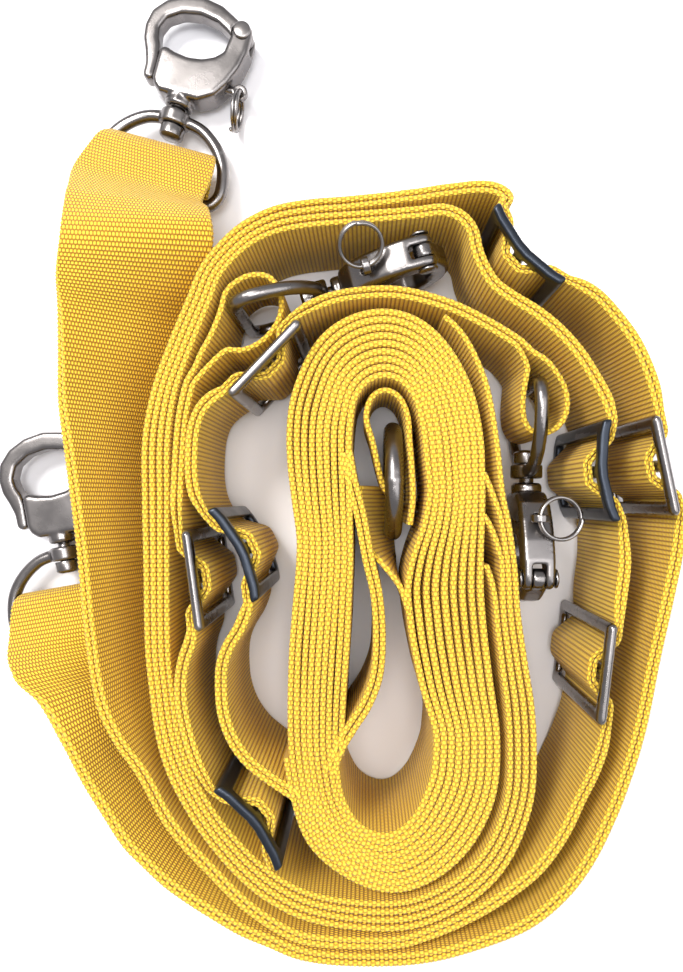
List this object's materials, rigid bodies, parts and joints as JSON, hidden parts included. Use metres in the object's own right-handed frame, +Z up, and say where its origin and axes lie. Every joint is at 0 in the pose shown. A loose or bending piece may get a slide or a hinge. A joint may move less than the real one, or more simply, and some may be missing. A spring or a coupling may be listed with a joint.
{
  "type": "strap set",
  "caption": "Coiled strap set of broad woven yellow webbing, standing on its edges, with swivel snap shackles, flat and bowed metal slides, and a round centre ring.",
  "frame": {"origin": "middle of the footprint, on the floor", "axes": "X to the right, Y toward the first shackle, Z up"},
  "size_m": [0.2458, 0.3496, 0.06],
  "materials": {
    "webbing": "coarse woven polyester",
    "bright_steel": "polished, lightly worn",
    "dark_steel": "dark satin"
  },
  "bodies": {
    "coil": {"strap_1": "webbing", "strap_2": "webbing", "strap_3": "webbing", "strap_4": "webbing", "outer_ring": "webbing", "hank": "webbing", "hank_inner_strand": "webbing", "ring_sling": "webbing", "slide_1_flat": "bright_steel", "slide_1_bowed": "dark_steel", "slide_2_flat": "bright_steel", "slide_2_bowed": "dark_steel", "slide_3_flat": "bright_steel", "slide_3_bowed": "dark_steel", "slide_4_flat": "bright_steel", "slide_4_bowed": "dark_steel", "shackle_1_bail": "bright_steel", "shackle_2_bail": "bright_steel", "shackle_3_bail": "bright_steel", "shackle_4_bail": "bright_steel"},
    "shackle_1": {"shackle_1_body": "bright_steel", "shackle_1_swivel_stud": "bright_steel", "shackle_1_jaw_pin": "bright_steel", "shackle_1_plunger_spring": "bright_steel"},
    "jaw_1": {"shackle_1_jaw": "bright_steel"},
    "plunger_1": {"shackle_1_plunger": "bright_steel"},
    "pull_ring_1": {"shackle_1_pull_ring": "bright_steel"},
    "shackle_2": {"shackle_2_body": "bright_steel", "shackle_2_swivel_stud": "bright_steel", "shackle_2_jaw_pin": "bright_steel", "shackle_2_plunger_spring": "bright_steel"},
    "jaw_2": {"shackle_2_jaw": "bright_steel"},
    "plunger_2": {"shackle_2_plunger": "bright_steel"},
    "pull_ring_2": {"shackle_2_pull_ring": "bright_steel"},
    "shackle_3": {"shackle_3_body": "bright_steel", "shackle_3_swivel_stud": "bright_steel", "shackle_3_jaw_pin": "bright_steel", "shackle_3_plunger_spring": "bright_steel"},
    "jaw_3": {"shackle_3_jaw": "bright_steel"},
    "plunger_3": {"shackle_3_plunger": "bright_steel"},
    "pull_ring_3": {"shackle_3_pull_ring": "bright_steel"},
    "shackle_4": {"shackle_4_body": "bright_steel", "shackle_4_swivel_stud": "bright_steel", "shackle_4_jaw_pin": "bright_steel", "shackle_4_plunger_spring": "bright_steel"},
    "jaw_4": {"shackle_4_jaw": "bright_steel"},
    "plunger_4": {"shackle_4_plunger": "bright_steel"},
    "pull_ring_4": {"shackle_4_pull_ring": "bright_steel"},
    "centre_ring": {"centre_ring": "bright_steel"}
  },
  "joints": [
    {"name": "swivel_1", "type": "hinge", "parent": "coil", "child": "shackle_1", "pos_m": [-0.05501, 0.13203, 0.009], "axis": [0.2588, 0.9659, 0], "continuous": true},
    {"name": "jaw_1_hinge", "type": "hinge", "parent": "shackle_1", "child": "jaw_1", "pos_m": [-0.02912, 0.15988, 0.009], "axis": [0, 0, -1], "range_deg": [0, 95]},
    {"name": "plunger_1_slide", "type": "slide", "parent": "shackle_1", "child": "plunger_1", "axis": [0.9659, -0.2588, 0], "range_m": [0, 0.004], "stiffness_N_per_m": 400, "springref_m": -0.002, "deforming": ["shackle_1_plunger_spring"]},
    {"name": "pull_ring_1_swing", "type": "hinge", "parent": "plunger_1", "child": "pull_ring_1", "pos_m": [-0.03078, 0.139, 0.009], "axis": [0, 0, 1], "range_deg": [0, 110]},
    {"name": "swivel_2", "type": "hinge", "parent": "coil", "child": "shackle_2", "pos_m": [-0.09881, -0.03577, 0.009], "axis": [-0.1736, 0.9848, 0], "range_deg": [-12, 12]},
    {"name": "jaw_2_hinge", "type": "hinge", "parent": "shackle_2", "child": "jaw_2", "pos_m": [-0.08711, 0.00041, 0.009], "axis": [0, 0, -1], "range_deg": [0, 95]},
    {"name": "plunger_2_slide", "type": "slide", "parent": "shackle_2", "child": "plunger_2", "axis": [0.9848, 0.1736, 0], "range_m": [0, 0.004], "stiffness_N_per_m": 400, "springref_m": -0.002, "deforming": ["shackle_2_plunger_spring"]},
    {"name": "pull_ring_2_swing", "type": "hinge", "parent": "plunger_2", "child": "pull_ring_2", "pos_m": [-0.0798, -0.01922, 0.009], "axis": [0, 0, 1], "range_deg": [0, 20]},
    {"name": "swivel_3", "type": "hinge", "parent": "coil", "child": "shackle_3", "pos_m": [0.00539, 0.05643, 0.0265], "axis": [0.9613, 0.2756, 0], "range_deg": [-2, 2]},
    {"name": "jaw_3_hinge", "type": "hinge", "parent": "shackle_3", "child": "jaw_3", "pos_m": [0.03769, 0.06569, 0.0443], "axis": [0.2756, -0.9613, 0], "range_deg": [0, 6]},
    {"name": "plunger_3_slide", "type": "slide", "parent": "shackle_3", "child": "plunger_3", "axis": [0, 0, 1], "range_m": [0, 0.004], "stiffness_N_per_m": 400, "springref_m": -0.002, "deforming": ["shackle_3_plunger_spring"]},
    {"name": "pull_ring_3_swing", "type": "hinge", "parent": "plunger_3", "child": "pull_ring_3", "pos_m": [0.01789, 0.06001, 0.0481], "axis": [0.9613, 0.2756, 0], "range_deg": [0, 85]},
    {"name": "swivel_4", "type": "hinge", "parent": "coil", "child": "shackle_4", "pos_m": [0.07649, -0.01197, 0.0265], "axis": [0, -1, 0], "range_deg": [-2, 1]},
    {"name": "jaw_4_hinge", "type": "hinge", "parent": "shackle_4", "child": "jaw_4", "pos_m": [0.07649, -0.04557, 0.0443], "axis": [-1, 0, 0], "range_deg": [0, 16]},
    {"name": "plunger_4_slide", "type": "slide", "parent": "shackle_4", "child": "plunger_4", "axis": [0, 0, 1], "range_m": [0, 0.004], "stiffness_N_per_m": 400, "springref_m": -0.002, "deforming": ["shackle_4_plunger_spring"]},
    {"name": "pull_ring_4_swing", "type": "hinge", "parent": "plunger_4", "child": "pull_ring_4", "pos_m": [0.07649, -0.02497, 0.0481], "axis": [0, -1, 0], "range_deg": [0, 130]},
    {"name": "centre_ring_turn", "type": "hinge", "parent": "coil", "child": "centre_ring", "pos_m": [0.02769, -0.01197, 0.026], "axis": [1, 0, 0], "continuous": true}
  ]
}
